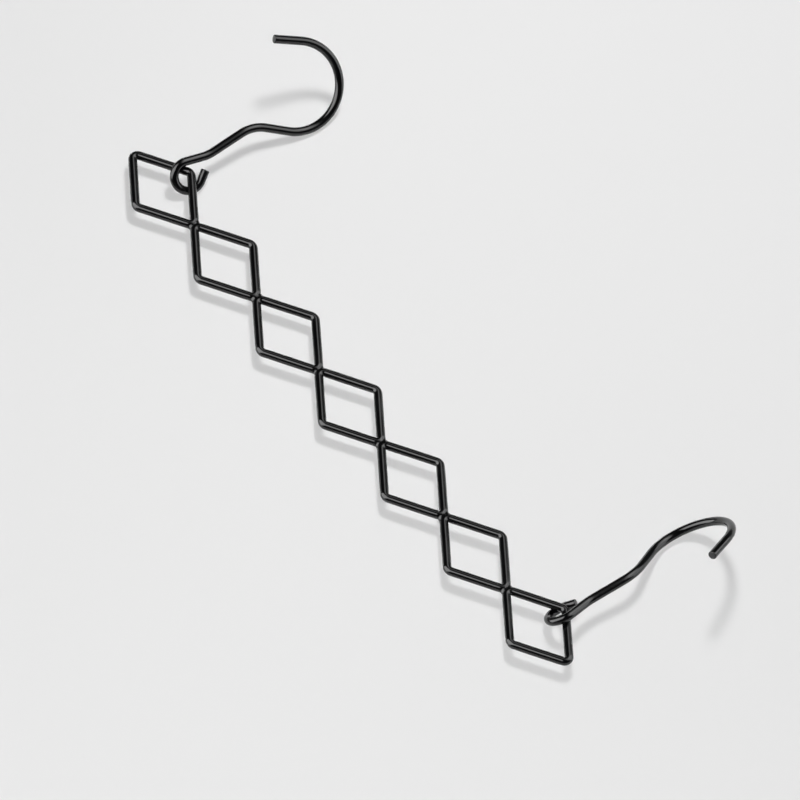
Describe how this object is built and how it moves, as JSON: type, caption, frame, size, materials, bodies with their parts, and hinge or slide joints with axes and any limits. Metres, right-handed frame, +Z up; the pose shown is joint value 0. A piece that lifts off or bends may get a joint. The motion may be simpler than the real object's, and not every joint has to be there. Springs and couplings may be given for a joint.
{
  "type": "cascading hanger",
  "caption": "Space saving clothes hanger: a flat chain of welded diamond wire rings with a swinging rod hook at each end.",
  "frame": {"origin": "on the surface that the hanger lies on, under the middle of its box", "axes": "+X along the chain of rings from the left hook to the right hook, +Y from the chain towards the hooks' bowls, +Z up from the surface"},
  "size_m": [0.3548, 0.1216, 0.0369],
  "materials": {
    "ring_wire": "gloss black coating on steel wire",
    "weld_bead": "gloss black coating on a weld bead",
    "hook_wire": "gloss black coating on steel wire"
  },
  "bodies": {
    "chain": {"ring_1": "ring_wire", "ring_2": "ring_wire", "ring_3": "ring_wire", "ring_4": "ring_wire", "ring_5": "ring_wire", "ring_6": "ring_wire", "ring_7": "ring_wire", "weld_1": "weld_bead", "weld_2": "weld_bead", "weld_3": "weld_bead", "weld_4": "weld_bead", "weld_5": "weld_bead", "weld_6": "weld_bead"},
    "left_hook_body": {"left_hook": "hook_wire"},
    "right_hook_body": {"right_hook": "hook_wire"}
  },
  "joints": [
    {"name": "left_hook_swing", "type": "hinge", "parent": "chain", "child": "left_hook_body", "pos_m": [-0.15141, -0.02956, 0.00695], "axis": [0.6981, -0.0556, 0.7138], "range_deg": [-170, 150]},
    {"name": "right_hook_swing", "type": "hinge", "parent": "chain", "child": "right_hook_body", "pos_m": [0.14676, -0.03, 0.00673], "axis": [0.6684, 0.0108, -0.7437], "range_deg": [-170, 150]}
  ]
}
